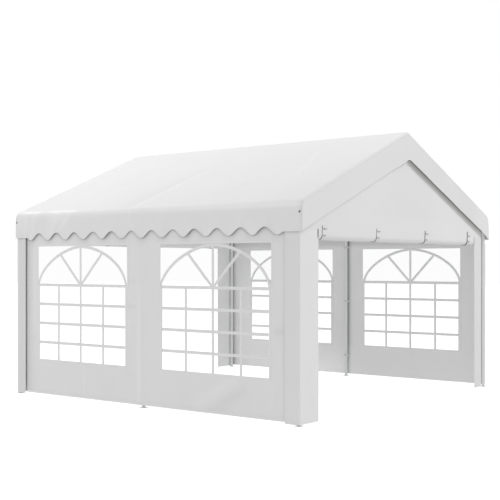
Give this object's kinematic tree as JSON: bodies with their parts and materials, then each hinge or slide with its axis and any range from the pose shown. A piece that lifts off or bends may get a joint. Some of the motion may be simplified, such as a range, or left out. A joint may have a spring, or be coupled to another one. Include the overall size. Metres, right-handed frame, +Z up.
{
  "type": "marquee tent",
  "caption": "Open-ended party tent: a two-slope fabric cover with scalloped valances on a tube frame, windowed side walls, corner flaps and rolled-up gable doors.",
  "frame": {"origin": "on the ground under the middle of the roof cover", "axes": "+Z up, the ridge along Y, the front gable faces -Y, the side walls with windows at -X and +X"},
  "size_m": [3.954, 4.066, 2.9051],
  "materials": {
    "frame_steel": "white powder-coated steel tube",
    "cover_cloth": "white coated roof fabric, satin",
    "wall_cloth": "white coated wall fabric, matt",
    "window_film": "clear soft vinyl film with printed white bars"
  },
  "bodies": {
    "root": {"post_front_left": "frame_steel", "post_front_right": "frame_steel", "post_middle_left": "frame_steel", "post_middle_right": "frame_steel", "post_back_left": "frame_steel", "post_back_right": "frame_steel", "eave_joint_front_left": "frame_steel", "eave_joint_front_right": "frame_steel", "eave_joint_middle_left": "frame_steel", "eave_joint_middle_right": "frame_steel", "eave_joint_back_left": "frame_steel", "eave_joint_back_right": "frame_steel", "ridge_joint_front": "frame_steel", "ridge_joint_middle": "frame_steel", "ridge_joint_back": "frame_steel", "eave_rail_front_left": "frame_steel", "eave_rail_front_right": "frame_steel", "eave_rail_back_left": "frame_steel", "eave_rail_back_right": "frame_steel", "ridge_rail_front": "frame_steel", "ridge_rail_back": "frame_steel", "rafter_front_left": "frame_steel", "rafter_front_right": "frame_steel", "rafter_middle_left": "frame_steel", "rafter_middle_right": "frame_steel", "rafter_back_left": "frame_steel", "rafter_back_right": "frame_steel", "roof_cover": "cover_cloth", "left_wall": "wall_cloth", "right_wall": "wall_cloth", "left_window_film_front": "window_film", "left_window_film_back": "window_film", "right_window_film_front": "window_film", "right_window_film_back": "window_film", "front_left_flap": "wall_cloth", "front_right_flap": "wall_cloth", "back_left_flap": "wall_cloth", "back_right_flap": "wall_cloth", "front_gable_panel": "wall_cloth", "back_gable_panel": "wall_cloth", "front_door_roll": "wall_cloth", "back_door_roll": "wall_cloth"}
  },
  "joints": []
}
